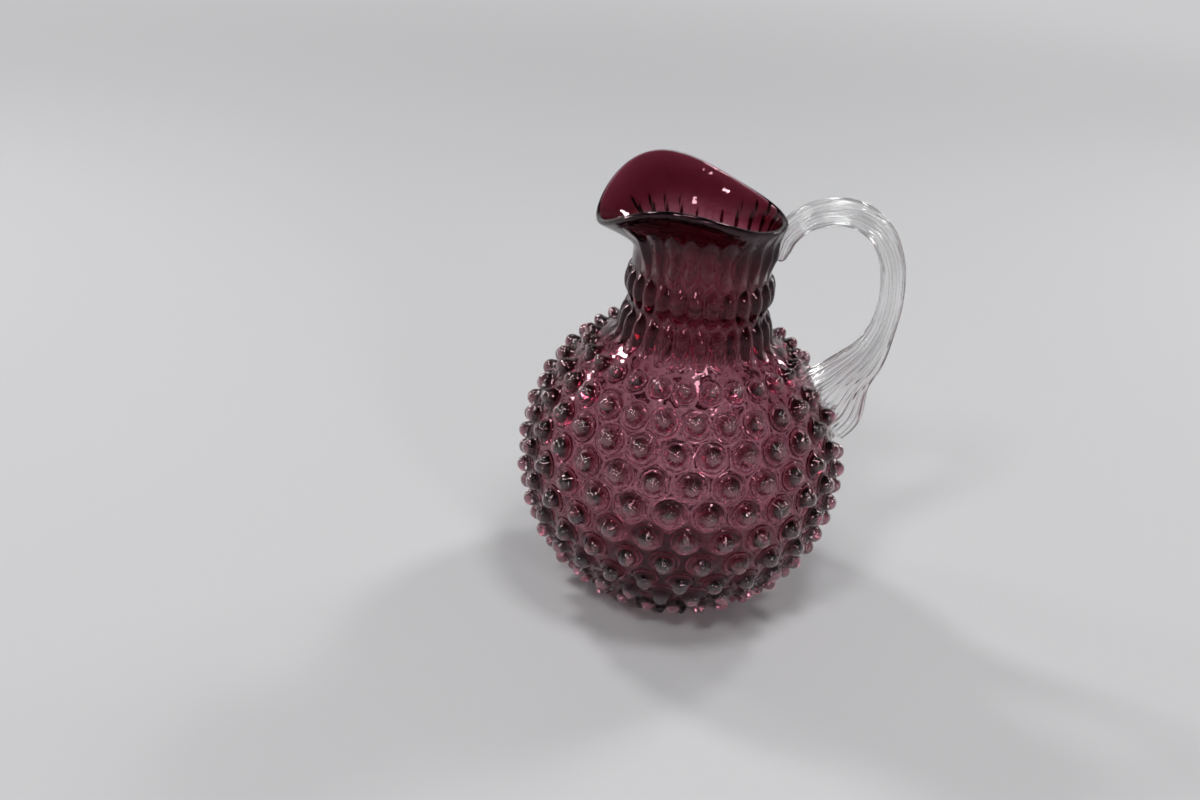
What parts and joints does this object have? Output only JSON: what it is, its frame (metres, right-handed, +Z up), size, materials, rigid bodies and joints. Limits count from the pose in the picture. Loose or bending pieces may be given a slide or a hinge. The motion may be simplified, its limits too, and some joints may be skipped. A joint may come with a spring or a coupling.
{
  "type": "hobnail glass jug",
  "caption": "Round blown-glass jug with rings of hobnails over the body and neck, a flared pouring lip and an applied reeded loop handle.",
  "frame": {"origin": "centre of the flat standing face under the body", "axes": "+Z up out of the mouth, -X towards the pouring spout, +X towards the handle, +Y across the jug"},
  "size_m": [0.2036, 0.183, 0.2395],
  "materials": {
    "clear_casing": "clear, polished",
    "amethyst": "transparent amethyst, polished",
    "clear_handle": "clear, reeded"
  },
  "bodies": {
    "root": {"hobnail_casing": "clear_casing", "amethyst_lining": "amethyst", "reeded_handle": "clear_handle"}
  },
  "joints": []
}
